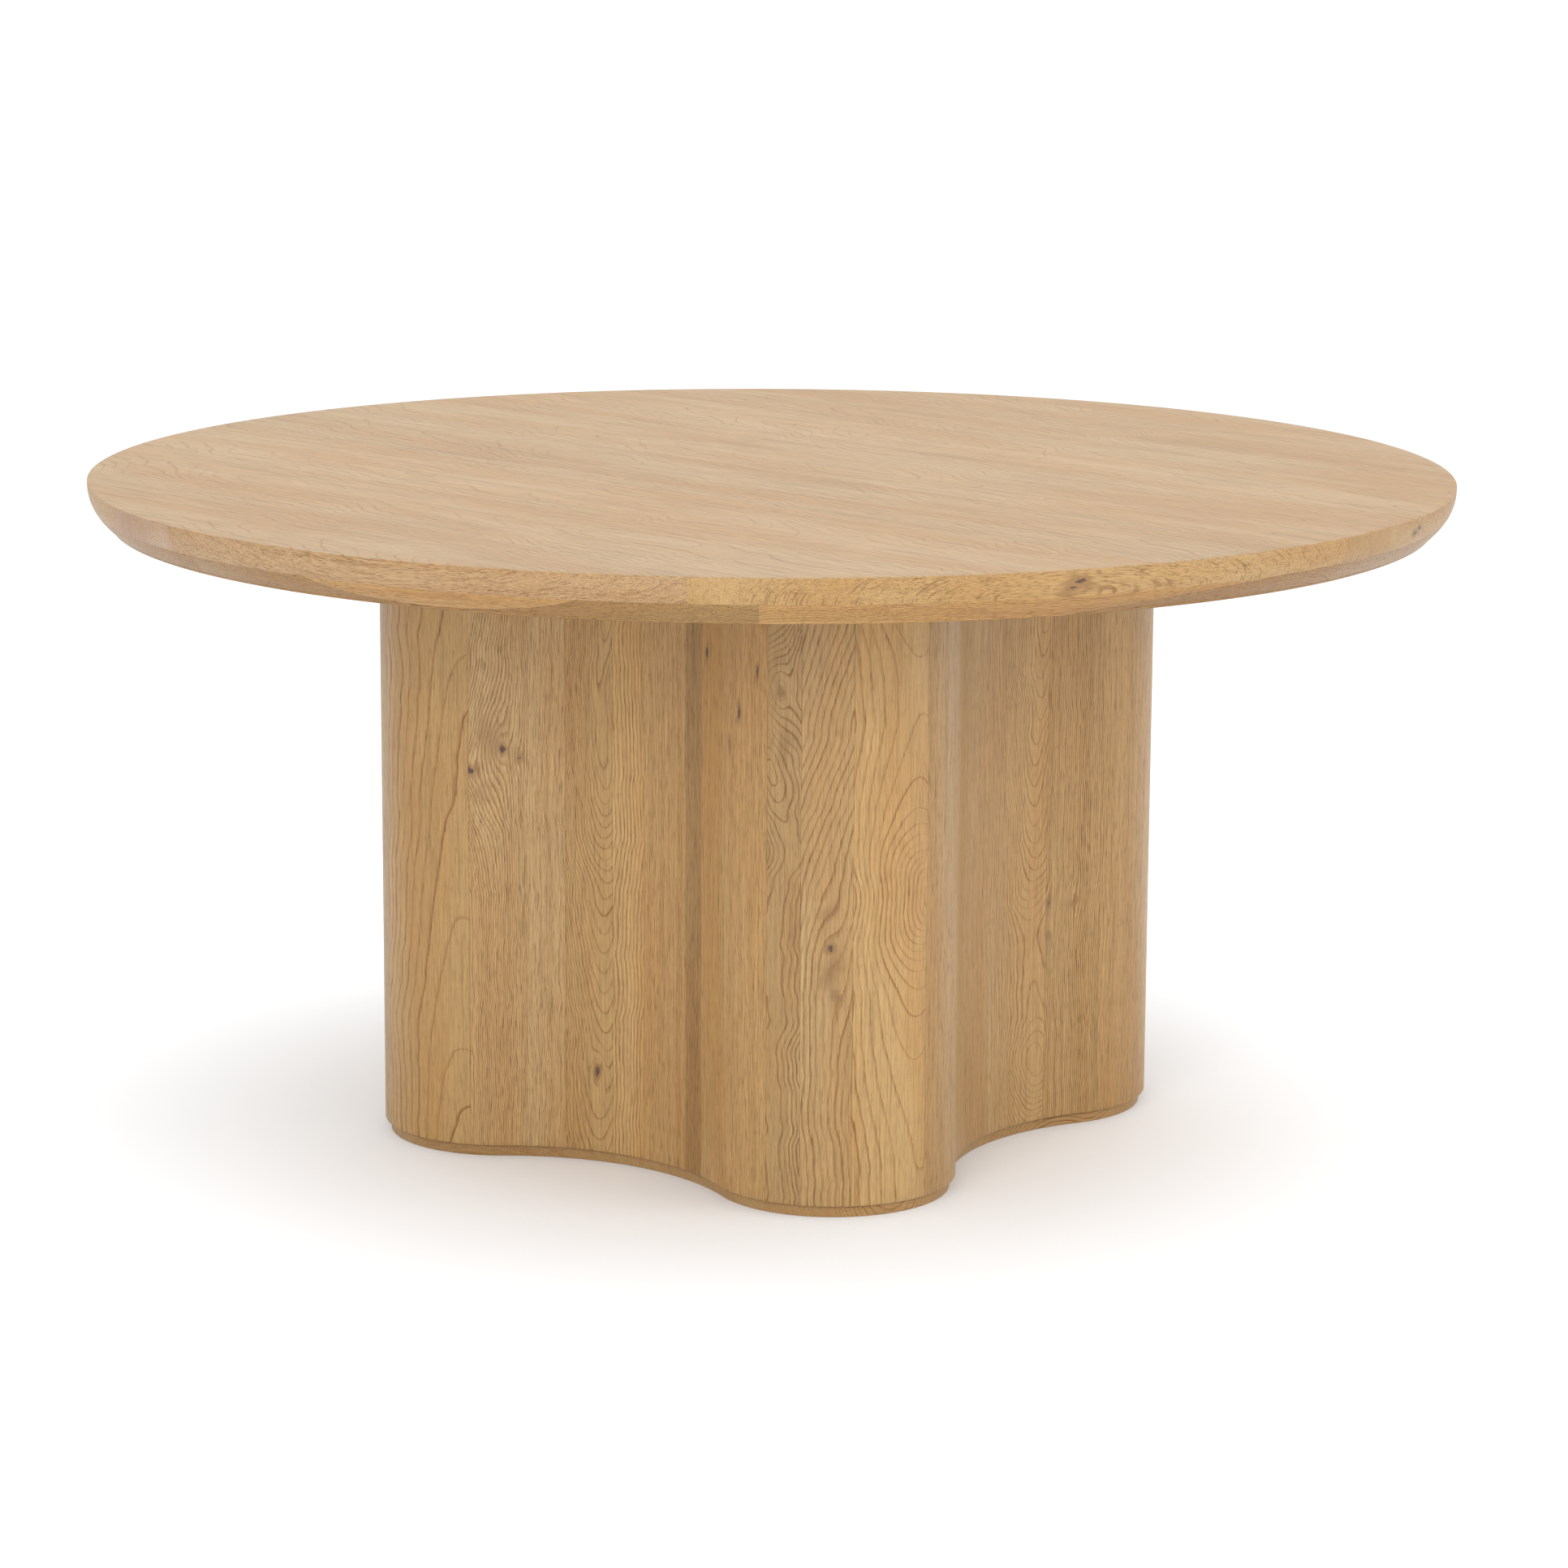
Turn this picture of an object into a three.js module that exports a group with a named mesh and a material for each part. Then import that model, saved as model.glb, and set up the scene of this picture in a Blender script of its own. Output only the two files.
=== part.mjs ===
// Round pedestal table: a veneered top with a two-layer solid oak edge, on a hollow
// four-lobed pedestal of upright oak staves that stands on a recessed plinth.
// Millimetres, +Z up, origin on the floor at the centre, pedestal lobes on the X and Y axes.
import * as THREE from 'three';

// ---- driving dimensions -------------------------------------------------------------
const TOP_DIAMETER = 1524;
const TABLE_HEIGHT = 743;
const FACE_VENEER_THICKNESS = 1;
const UPPER_EDGE_THICKNESS = 27;
const LOWER_EDGE_THICKNESS = 22;
const UPPER_EDGE_WIDTH = 60;
const LOWER_EDGE_WIDTH = 90;
const EDGE_UNDERCUT = 28;
const EDGE_UNDERCUT_POWER = 2.4;
const BACKING_VENEER_THICKNESS = 1;

const LOBE_COUNT = 4;
const LOBE_RADIUS = 136;
const LOBE_CENTRE_DISTANCE = 308;
const VALLEY_RADIUS = 257;
const STAVE_THICKNESS = 22;

const PLINTH_HEIGHT = 12;
const PLINTH_RECESS = 6.5;
const SHADOW_GAP = 1;
const FORMER_THICKNESS = 18;
const MIDDLE_FORMER_HEIGHT = 340;
const MOUNTING_PLATE_RADIUS = 400;

const BOLT_HOLE_RADIUS = 4.5;
const BOLT_CIRCLE_RADIUS = 352;
const BOLT_SPREAD_DEGREES = 9;

const GLIDE_PAD_RADIUS = 20;
const GLIDE_PAD_THICKNESS = 6;
const GLIDE_LIFT = 1;
const GLIDE_STEM_RADIUS = 5;
const GLIDE_STEM_LENGTH = 45;
const GLIDE_WELL_RADIUS = 23;

const GLUE_GAP = 0.3;
const FORMER_GAP = 1;

// ---- levels worked out from the driving dimensions -------------------------------------
const TOP_RADIUS = TOP_DIAMETER / 2;
const FACE_BOTTOM = TABLE_HEIGHT - FACE_VENEER_THICKNESS;
const UPPER_EDGE_BOTTOM = FACE_BOTTOM - UPPER_EDGE_THICKNESS;
const LOWER_EDGE_BOTTOM = UPPER_EDGE_BOTTOM - LOWER_EDGE_THICKNESS;
const TOP_THICKNESS = TABLE_HEIGHT - LOWER_EDGE_BOTTOM;
const CORE_RADIUS = TOP_RADIUS - UPPER_EDGE_WIDTH;
const STAVE_BOTTOM = PLINTH_HEIGHT + SHADOW_GAP;
const STAVE_TOP = LOWER_EDGE_BOTTOM;

// ---- finishes ------------------------------------------------------------------------------
const veneerFinish = { color: 0xc9ab85, roughness: 0.5, metalness: 0 };
const upperEdgeFinish = { color: 0xbb9468, roughness: 0.5, metalness: 0 };
const endGrainFinish = { color: 0xa98055, roughness: 0.6, metalness: 0 };
const lowerEdgeFinish = { color: 0xad7d4f, roughness: 0.5, metalness: 0 };
const staveFinish = { color: 0xb38a60, roughness: 0.55, metalness: 0 };
const panelFinish = { color: 0x9c8463, roughness: 0.8, metalness: 0 };
const plywoodFinish = { color: 0xc2a777, roughness: 0.75, metalness: 0 };
const steelFinish = { color: 0x9a9a9c, roughness: 0.35, metalness: 1 };

const table = new THREE.Group();

/** Adds one named mesh to the table with its own material. */
function addPiece(name, geometry, finish) {
  const mesh = new THREE.Mesh(geometry, new THREE.MeshStandardMaterial(finish));
  mesh.name = name;
  table.add(mesh);
  return mesh;
}

/** A flat disc standing between two heights. */
function disc(radius, bottom, top) {
  const DISC_SIDES = 120;
  const geometry = new THREE.CylinderGeometry(radius, radius, top - bottom, DISC_SIDES);
  geometry.rotateX(Math.PI / 2);
  geometry.translate(0, 0, (bottom + top) / 2);
  return geometry;
}

// ---- the edge of the top ------------------------------------------------------------------

/** Radius of the top's edge at a height: the wall falls inwards as a power of the depth. */
function edgeRadius(height) {
  const depth = (TABLE_HEIGHT - height) / TOP_THICKNESS;
  return TOP_RADIUS - EDGE_UNDERCUT * depth ** EDGE_UNDERCUT_POWER;
}

/** Section of one edge layer as [radius, height] points, counter-clockwise. */
function edgeSection(innerRadius, bottom, top) {
  const WALL_STEPS = 5;
  const section = [[innerRadius, bottom]];
  for (let step = 0; step <= WALL_STEPS; step += 1) {
    const height = bottom + ((top - bottom) * step) / WALL_STEPS;
    section.push([edgeRadius(height), height]);
  }
  section.push([innerRadius, top]);
  return section;
}

/** A closed solid: a section carried around the Z axis between two angles in degrees. */
function ringSegment(section, startDegrees, endDegrees) {
  const DEGREES_PER_STEP = 3;
  const steps = Math.max(1, Math.ceil((endDegrees - startDegrees) / DEGREES_PER_STEP));
  const corners = section.length;
  const positions = [];
  for (let step = 0; step <= steps; step += 1) {
    const degrees = startDegrees + ((endDegrees - startDegrees) * step) / steps;
    const angle = THREE.MathUtils.degToRad(degrees);
    for (const [radius, height] of section) {
      positions.push(radius * Math.cos(angle), radius * Math.sin(angle), height);
    }
  }
  const triangles = [];
  for (let step = 0; step < steps; step += 1) {
    for (let corner = 0; corner < corners; corner += 1) {
      const nextCorner = (corner + 1) % corners;
      const a = step * corners + corner;
      const b = step * corners + nextCorner;
      const c = a + corners;
      const d = b + corners;
      triangles.push(a, c, b);
      triangles.push(b, c, d);
    }
  }
  const outline = section.map(([radius, height]) => new THREE.Vector2(radius, height));
  const lastRing = steps * corners;
  for (const [a, b, c] of THREE.ShapeUtils.triangulateShape(outline, [])) {
    triangles.push(a, b, c);
    triangles.push(lastRing + a, lastRing + c, lastRing + b);
  }
  const geometry = new THREE.BufferGeometry();
  geometry.setAttribute('position', new THREE.Float32BufferAttribute(positions, 3));
  geometry.setIndex(triangles);
  return geometry;
}

/** Half of a glue gap, in degrees, at the outside of the top. */
const HALF_GAP_DEGREES = THREE.MathUtils.radToDeg(GLUE_GAP / 2 / CORE_RADIUS);

// Each long segment is followed by one short block; angles in degrees around the top.
const UPPER_RING_START = 190.4;
const UPPER_RING_SPANS = [
  { block: 11.9, long: 48.8 },
  { block: 3.9, long: 53.1 },
  { block: 9.9, long: 51.6 },
  { block: 8.4, long: 50.3 },
  { block: 6.2, long: 49.8 },
  { block: 10.6, long: 55.5 },
];
const upperSection = edgeSection(CORE_RADIUS + 2 * GLUE_GAP, UPPER_EDGE_BOTTOM, FACE_BOTTOM);
let ringAngle = UPPER_RING_START;
UPPER_RING_SPANS.forEach(({ block, long }, index) => {
  const blockEnd = ringAngle + block;
  const longEnd = blockEnd + long;
  addPiece(
    `edge_upper_block_${index + 1}`,
    ringSegment(upperSection, ringAngle + HALF_GAP_DEGREES, blockEnd - HALF_GAP_DEGREES),
    endGrainFinish,
  );
  addPiece(
    `edge_upper_segment_${index + 1}`,
    ringSegment(upperSection, blockEnd + HALF_GAP_DEGREES, longEnd - HALF_GAP_DEGREES),
    upperEdgeFinish,
  );
  ringAngle = longEnd;
});

const LOWER_RING_START = 256.4;
const LOWER_RING_COUNT = 7;
const LOWER_RING_SPAN = 360 / LOWER_RING_COUNT;
const lowerSection = edgeSection(
  TOP_RADIUS - LOWER_EDGE_WIDTH,
  LOWER_EDGE_BOTTOM,
  UPPER_EDGE_BOTTOM,
);
for (let index = 0; index < LOWER_RING_COUNT; index += 1) {
  const start = LOWER_RING_START + index * LOWER_RING_SPAN;
  addPiece(
    `edge_lower_segment_${index + 1}`,
    ringSegment(lowerSection, start + HALF_GAP_DEGREES, start + LOWER_RING_SPAN - HALF_GAP_DEGREES),
    lowerEdgeFinish,
  );
}

// ---- the panel inside the edge ---------------------------------------------------------------
const coreBottom = UPPER_EDGE_BOTTOM + BACKING_VENEER_THICKNESS;
addPiece('face_veneer', disc(TOP_RADIUS, FACE_BOTTOM, TABLE_HEIGHT), veneerFinish);
addPiece('core_panel', disc(CORE_RADIUS, coreBottom, FACE_BOTTOM), panelFinish);
addPiece('backing_veneer', disc(CORE_RADIUS, UPPER_EDGE_BOTTOM, coreBottom), veneerFinish);

// ---- the plan of the pedestal -------------------------------------------------------------------
// The outline is a chain of arcs that meet smoothly: a round lobe, then a hollow valley whose
// centre lies outside, on the line half-way between two lobes.
const HALF_SECTOR = Math.PI / LOBE_COUNT;
const ARC_SUM = LOBE_RADIUS + VALLEY_RADIUS;
const VALLEY_CENTRE_DISTANCE =
  LOBE_CENTRE_DISTANCE * Math.cos(HALF_SECTOR) +
  Math.sqrt(ARC_SUM ** 2 - (LOBE_CENTRE_DISTANCE * Math.sin(HALF_SECTOR)) ** 2);
const LOBE_HALF_ANGLE = Math.atan2(
  VALLEY_CENTRE_DISTANCE * Math.sin(HALF_SECTOR),
  VALLEY_CENTRE_DISTANCE * Math.cos(HALF_SECTOR) - LOBE_CENTRE_DISTANCE,
);
const VALLEY_HALF_ANGLE = LOBE_HALF_ANGLE - HALF_SECTOR;
const LOBE_HALF_LENGTH = LOBE_RADIUS * LOBE_HALF_ANGLE;
const VALLEY_HALF_LENGTH = VALLEY_RADIUS * VALLEY_HALF_ANGLE;
const SECTOR_LENGTH = 2 * (LOBE_HALF_LENGTH + VALLEY_HALF_LENGTH);
const PERIMETER = LOBE_COUNT * SECTOR_LENGTH;
const FIRST_LOBE_ANGLE = -Math.PI / 2;

/** Point on the outline at a distance run from the front lobe's tip, moved in by an inset. */
function outlinePoint(distance, inset) {
  const sector = Math.floor((distance + LOBE_HALF_LENGTH) / SECTOR_LENGTH);
  const along = distance - sector * SECTOR_LENGTH;
  const point = new THREE.Vector2();
  if (along <= LOBE_HALF_LENGTH) {
    const angle = along / LOBE_RADIUS;
    const radius = LOBE_RADIUS - inset;
    point.set(LOBE_CENTRE_DISTANCE + radius * Math.cos(angle), radius * Math.sin(angle));
  } else {
    const turn = HALF_SECTOR - (along - SECTOR_LENGTH / 2) / VALLEY_RADIUS;
    const radius = VALLEY_RADIUS + inset;
    point.set(
      VALLEY_CENTRE_DISTANCE * Math.cos(HALF_SECTOR) - radius * Math.cos(turn),
      VALLEY_CENTRE_DISTANCE * Math.sin(HALF_SECTOR) - radius * Math.sin(turn),
    );
  }
  const lobeAngle = FIRST_LOBE_ANGLE + sector * 2 * HALF_SECTOR;
  return point.rotateAround(new THREE.Vector2(), lobeAngle);
}

/** Points on the outline between two distances, close enough together to follow the arcs. */
function outlineRun(start, end, inset) {
  const POINT_SPACING = 21;
  const steps = Math.max(1, Math.ceil((end - start) / POINT_SPACING));
  const points = [];
  for (let step = 0; step <= steps; step += 1) {
    points.push(outlinePoint(start + ((end - start) * step) / steps, inset));
  }
  return points;
}

/** A closed shape of the whole outline, moved in by an inset. */
function outlineShape(inset) {
  return new THREE.Shape(outlineRun(0, PERIMETER, inset).slice(0, -1));
}

/** A shape raised between two heights, its true arcs cut into an even number of chords. */
function raise(shape, bottom, top, arcChords = 16) {
  const geometry = new THREE.ExtrudeGeometry(shape, {
    depth: top - bottom,
    bevelEnabled: false,
    curveSegments: arcChords,
  });
  geometry.translate(0, 0, bottom);
  return geometry;
}

// ---- staves --------------------------------------------------------------------------------------
// Board widths around the pedestal, counter-clockwise, from a joint beside the left lobe's
// tip. The last board takes up what is left of the outline.
const FIRST_STAVE_JOINT = -650;
const STAVE_WIDTHS = [
  127, 108, 56, 41, 65, 29, 119, 39, 56, 90, 77, 105, 104, 70, 72, 82,
  96, 134, 88, 118, 142, 74, 126, 104, 137, 66, 135, 110,
];
let staveStart = FIRST_STAVE_JOINT;
const staveEnd = FIRST_STAVE_JOINT + PERIMETER;
for (let index = 0; index <= STAVE_WIDTHS.length; index += 1) {
  const isLast = index === STAVE_WIDTHS.length;
  const nextStart = isLast ? staveEnd : staveStart + STAVE_WIDTHS[index];
  const from = staveStart + GLUE_GAP / 2;
  const to = nextStart - GLUE_GAP / 2;
  const outside = outlineRun(from, to, 0);
  const inside = outlineRun(from, to, STAVE_THICKNESS);
  const band = new THREE.Shape([...outside, ...inside.reverse()]);
  const number = String(index + 1).padStart(2, '0');
  addPiece(`stave_${number}`, raise(band, STAVE_BOTTOM, STAVE_TOP), staveFinish);
  staveStart = nextStart;
}

// ---- boards inside and under the staves ----------------------------------------------------------------

/** Adds one round hole to a shape. */
function drill(shape, x, y, radius) {
  const hole = new THREE.Path();
  hole.absarc(x, y, radius, 0, 2 * Math.PI, true);
  shape.holes.push(hole);
}

const GLIDE_PLACES = [
  { side: 'front', x: 0, y: -LOBE_CENTRE_DISTANCE },
  { side: 'right', x: LOBE_CENTRE_DISTANCE, y: 0 },
  { side: 'back', x: 0, y: LOBE_CENTRE_DISTANCE },
  { side: 'left', x: -LOBE_CENTRE_DISTANCE, y: 0 },
];
const plinthShape = outlineShape(PLINTH_RECESS);
const lowerFormerShape = outlineShape(STAVE_THICKNESS + FORMER_GAP);
for (const { x, y } of GLIDE_PLACES) {
  drill(plinthShape, x, y, GLIDE_WELL_RADIUS);
  drill(lowerFormerShape, x, y, GLIDE_STEM_RADIUS + GLUE_GAP);
}
const formerShape = outlineShape(STAVE_THICKNESS + FORMER_GAP);
addPiece('plinth', raise(plinthShape, 0, PLINTH_HEIGHT), staveFinish);
addPiece(
  'lower_former',
  raise(lowerFormerShape, PLINTH_HEIGHT, PLINTH_HEIGHT + FORMER_THICKNESS),
  plywoodFinish,
);
addPiece(
  'middle_former',
  raise(formerShape, MIDDLE_FORMER_HEIGHT, MIDDLE_FORMER_HEIGHT + FORMER_THICKNESS),
  plywoodFinish,
);
addPiece('upper_former', raise(formerShape, STAVE_TOP - FORMER_THICKNESS, STAVE_TOP), plywoodFinish);

// The mounting plate is screwed down to the upper former, and reaches past the staves in the
// four valleys, where two bolts go up through it into the core panel.
const PLATE_CHORDS = 60;
const plateShape = new THREE.Shape();
plateShape.absarc(0, 0, MOUNTING_PLATE_RADIUS, 0, 2 * Math.PI, false);
for (let valley = 0; valley < LOBE_COUNT; valley += 1) {
  for (const side of [-1, 1]) {
    const degrees = 45 + valley * 90 + side * BOLT_SPREAD_DEGREES;
    const angle = THREE.MathUtils.degToRad(degrees);
    const x = BOLT_CIRCLE_RADIUS * Math.cos(angle);
    const y = BOLT_CIRCLE_RADIUS * Math.sin(angle);
    drill(plateShape, x, y, BOLT_HOLE_RADIUS);
  }
}
addPiece(
  'mounting_plate',
  raise(plateShape, STAVE_TOP, UPPER_EDGE_BOTTOM, PLATE_CHORDS),
  plywoodFinish,
);

// ---- levelling glides ----------------------------------------------------------------------------
// A round pad on a threaded stem, turned right up into its well, so the plinth meets the floor.
const padTop = GLIDE_LIFT + GLIDE_PAD_THICKNESS;
const EASED_EDGE = 1.5;
const glideProfile = [
  new THREE.Vector2(0, GLIDE_LIFT),
  new THREE.Vector2(GLIDE_PAD_RADIUS - EASED_EDGE, GLIDE_LIFT),
  new THREE.Vector2(GLIDE_PAD_RADIUS, GLIDE_LIFT + EASED_EDGE),
  new THREE.Vector2(GLIDE_PAD_RADIUS, padTop - EASED_EDGE),
  new THREE.Vector2(GLIDE_PAD_RADIUS - EASED_EDGE, padTop),
  new THREE.Vector2(GLIDE_STEM_RADIUS, padTop),
  new THREE.Vector2(GLIDE_STEM_RADIUS, padTop + GLIDE_STEM_LENGTH),
  new THREE.Vector2(0, padTop + GLIDE_STEM_LENGTH),
];
for (const { side, x, y } of GLIDE_PLACES) {
  const GLIDE_SIDES = 20;
  const glide = new THREE.LatheGeometry(glideProfile, GLIDE_SIDES);
  glide.rotateX(Math.PI / 2);
  const piece = addPiece(`levelling_glide_${side}`, glide, steelFinish);
  piece.position.set(x, y, 0);
}

export default table;
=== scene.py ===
import math

import bpy
import numpy as np
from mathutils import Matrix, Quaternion, Vector
from mathutils.geometry import tessellate_polygon


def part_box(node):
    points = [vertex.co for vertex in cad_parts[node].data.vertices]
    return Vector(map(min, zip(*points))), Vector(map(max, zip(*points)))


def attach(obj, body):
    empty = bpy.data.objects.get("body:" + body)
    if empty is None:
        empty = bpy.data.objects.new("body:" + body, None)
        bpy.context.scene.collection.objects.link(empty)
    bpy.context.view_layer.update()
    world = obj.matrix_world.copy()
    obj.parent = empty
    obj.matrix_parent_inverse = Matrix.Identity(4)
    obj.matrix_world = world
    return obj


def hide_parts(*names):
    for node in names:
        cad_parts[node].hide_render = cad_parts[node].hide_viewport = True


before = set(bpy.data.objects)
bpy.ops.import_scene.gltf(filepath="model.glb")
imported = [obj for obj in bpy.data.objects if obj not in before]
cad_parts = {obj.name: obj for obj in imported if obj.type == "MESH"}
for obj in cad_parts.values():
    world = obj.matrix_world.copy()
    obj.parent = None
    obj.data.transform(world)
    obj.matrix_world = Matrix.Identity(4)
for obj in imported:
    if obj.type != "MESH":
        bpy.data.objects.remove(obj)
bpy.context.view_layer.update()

# ---- camera ----------------------------------------------
# A long lens stands a little to the left of the front lobe and looks slightly down on the top.
CAMERA_PLACE = (-1.178, -5.251, 1.484)
CAMERA_AIM = (-0.001, -0.072, 0.398)
CAMERA_LENS = 110.85
CAMERA_FILM = 36.0
CAMERA_ROLL = math.radians(0.29)
CAMERA_REACH = 100.0


def stand(name, data, place, aim, roll=0.0):
    """Stands a camera or a light at a place, facing the aim, rolled about its line of sight."""
    stood = bpy.data.objects.new(name, data)
    stood.location = place
    stood.rotation_mode = "QUATERNION"
    turn = (Vector(aim) - Vector(place)).to_track_quat("-Z", "Y")
    stood.rotation_quaternion = turn @ Quaternion((0, 0, 1), roll)
    bpy.context.scene.collection.objects.link(stood)
    return stood


camera_data = bpy.data.cameras.new("camera")
camera_data.lens = CAMERA_LENS
camera_data.sensor_width = CAMERA_FILM
camera_data.clip_end = CAMERA_REACH
bpy.context.scene.camera = stand("camera", camera_data, CAMERA_PLACE, CAMERA_AIM, CAMERA_ROLL)

# ---- studio ----------------------------------------------
# A white room: an even dome, one broad soft light overhead, one in front on the left, a weaker
# one on the right, and a pale floor that carries the contact shadow.
bpy.context.scene.view_settings.view_transform = "Standard"
DOME_STRENGTH = 1.12
DOME_COLOUR = (1.0, 1.0, 1.0, 1.0)
world = bpy.data.worlds.new("white_room")
world.use_nodes = True
dome = world.node_tree.nodes["Background"].inputs
dome["Color"].default_value = DOME_COLOUR
dome["Strength"].default_value = DOME_STRENGTH
bpy.context.scene.world = world


def soft_light(name, place, aim, width, height, power):
    """A rectangular area light that stands at a place and faces the aim."""
    light = bpy.data.lights.new(name, "AREA")
    light.shape = "RECTANGLE"
    light.size = width
    light.size_y = height
    light.energy = power
    stand(name, light, place, aim)


soft_light("overhead_softbox", (0.2, 0.4, 3.6), (0, 0, 0.6), 4.2, 4.2, 50)
soft_light("front_softbox", (-2.4, -4.8, 2.0), (0, 0, 0.2), 3.4, 2.4, 108)
soft_light("right_softbox", (4.2, -2.6, 2.0), (0, 0, 0.2), 2.6, 2.4, 60)

FLOOR_REACH = 30.0
FLOOR_COLOUR = (0.93, 0.955, 0.98, 1.0)
floor_mesh = bpy.data.meshes.new("studio_floor")
floor_corners = [(x, y, 0.0) for x, y in ((-1, -1), (1, -1), (1, 1), (-1, 1))]
floor_mesh.from_pydata([Vector(c) * FLOOR_REACH for c in floor_corners], [], [(0, 1, 2, 3)])
floor = bpy.data.objects.new("studio_floor", floor_mesh)
bpy.context.scene.collection.objects.link(floor)
floor_paint = bpy.data.materials.new("floor_paint")
floor_paint.use_nodes = True
floor_shader = floor_paint.node_tree.nodes["Principled BSDF"]
floor_shader.inputs["Base Color"].default_value = FLOOR_COLOUR
floor_shader.inputs["Roughness"].default_value = 0.9
floor_mesh.materials.append(floor_paint)

# ---- plinth ----------------------------------------------
# A solid oak board cut to the four-lobed plan and set back under the staves. Its grain runs
# level, its edges are eased, and four round wells hold the levelling glides.
LOBE_RADIUS = 0.136
LOBE_CENTRE = 0.308
VALLEY_RADIUS = 0.257
PLINTH_RECESS = 0.0065
PLINTH_STEP = 0.004
PLINTH_EASE = 0.0012
PLINTH_POINTS = 900
WELL_RADIUS = 0.023
ROUND_SIDES = 48

half_sector = math.pi / 4
arc_sum = LOBE_RADIUS + VALLEY_RADIUS
valley_centre = LOBE_CENTRE * math.cos(half_sector) + math.sqrt(
    arc_sum**2 - (LOBE_CENTRE * math.sin(half_sector)) ** 2
)
lobe_half_angle = math.atan2(
    valley_centre * math.sin(half_sector),
    valley_centre * math.cos(half_sector) - LOBE_CENTRE,
)
lobe_half_length = LOBE_RADIUS * lobe_half_angle
sector_length = 2 * (lobe_half_length + VALLEY_RADIUS * (lobe_half_angle - half_sector))
outline_length = 4 * sector_length


def outline(run, inset):
    """Plan of the pedestal at a distance run from the front lobe's tip, moved in by an inset.

    A lobe is an arc about its own centre, the run over the radius being the angle. A valley is
    an arc about a centre outside, half-way between two lobes. The sector's turn comes last.
    """
    run = np.asarray(run, float)
    sector = np.floor((run + lobe_half_length) / sector_length)
    along = run - sector * sector_length
    lobe_turn = along / LOBE_RADIUS
    lobe_x = LOBE_CENTRE + (LOBE_RADIUS - inset) * np.cos(lobe_turn)
    lobe_y = (LOBE_RADIUS - inset) * np.sin(lobe_turn)
    valley_turn = half_sector - (along - sector_length / 2) / VALLEY_RADIUS
    valley_x = valley_centre * math.cos(half_sector) - (VALLEY_RADIUS + inset) * np.cos(valley_turn)
    valley_y = valley_centre * math.sin(half_sector) - (VALLEY_RADIUS + inset) * np.sin(valley_turn)
    on_lobe = along <= lobe_half_length
    x = np.where(on_lobe, lobe_x, valley_x)
    y = np.where(on_lobe, lobe_y, valley_y)
    turn = (sector - 1) * math.pi / 2
    return x * np.cos(turn) - y * np.sin(turn), x * np.sin(turn) + y * np.cos(turn)


def eased_run(length, spacing, ease):
    """Stations along a run and the drop of the surface at each.

    The drop is nought between the ends, and follows a quarter circle of the easing radius at
    both, so that an arris is rounded over.
    """
    quarter = np.linspace(0, math.pi / 2, 4)
    lead = ease * (1 - np.cos(quarter))
    drop = ease * (1 - np.sin(quarter))
    count = max(3, int(math.ceil((length - 2 * ease) / spacing)) + 1)
    middle = np.linspace(ease, length - ease, count)[1:-1]
    stations = np.concatenate([lead, middle, length - lead[::-1]])
    drops = np.concatenate([drop, np.zeros(len(middle)), drop[::-1]])
    return stations, drops


def finish_mesh(name, points, faces, sharp_degrees=40):
    """A mesh object from points and faces, smooth but for edges sharper than an angle."""
    mesh = bpy.data.meshes.new(name)
    mesh.from_pydata(points, [], faces)
    mesh.shade_smooth()
    mesh.set_sharp_from_angle(angle=math.radians(sharp_degrees))
    piece = bpy.data.objects.new(name, mesh)
    bpy.context.scene.collection.objects.link(piece)
    return piece


def full_turn(sides):
    """Angles once round, in so many even steps."""
    return np.linspace(0, 2 * math.pi, sides, endpoint=False)


def around(place, radius, angle, height):
    """Points about an upright line: the radius along each angle, at a height."""
    x = place[0] + radius * np.cos(angle)
    y = place[1] + radius * np.sin(angle)
    return np.stack(np.broadcast_arrays(x, y, height), axis=-1)


def ring_walls(index):
    """Four-sided faces between each two rows of rings, every point joined to the next one round."""
    onward = np.roll(index, -1, axis=1)
    corners = [index[:-1], onward[:-1], onward[1:], index[1:]]
    return np.stack(corners, axis=-1).reshape(-1, 4).tolist()


def carried(name, grid, end_caps="flat"):
    """A closed solid: a closed section carried along a path.

    The grid is rows of sections, each a ring of points. Every point is joined to the next
    around its ring and along the path. Flat caps are one face each, ladder caps are strips
    between a ring's first half and the mirror of it in the second half, and a grid without
    caps closes on itself.
    """
    rows, ring = grid.shape[:2]
    index = np.arange(rows * ring).reshape(rows, ring)
    faces = ring_walls(np.concatenate([index, index[:1]]) if end_caps == "none" else index)
    if end_caps == "flat":
        faces.append(index[0, ::-1].tolist())
        faces.append(index[-1].tolist())
    if end_caps == "ladder":
        half = ring // 2
        mirror = index[:, ::-1]
        start = [mirror[0, :half - 1], mirror[0, 1:half], index[0, 1:half], index[0, :half - 1]]
        end = [index[-1, :half - 1], index[-1, 1:half], mirror[-1, 1:half], mirror[-1, :half - 1]]
        faces += np.stack(start, axis=-1).tolist() + np.stack(end, axis=-1).tolist()
    return finish_mesh(name, grid.reshape(-1, 3), faces)


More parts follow.
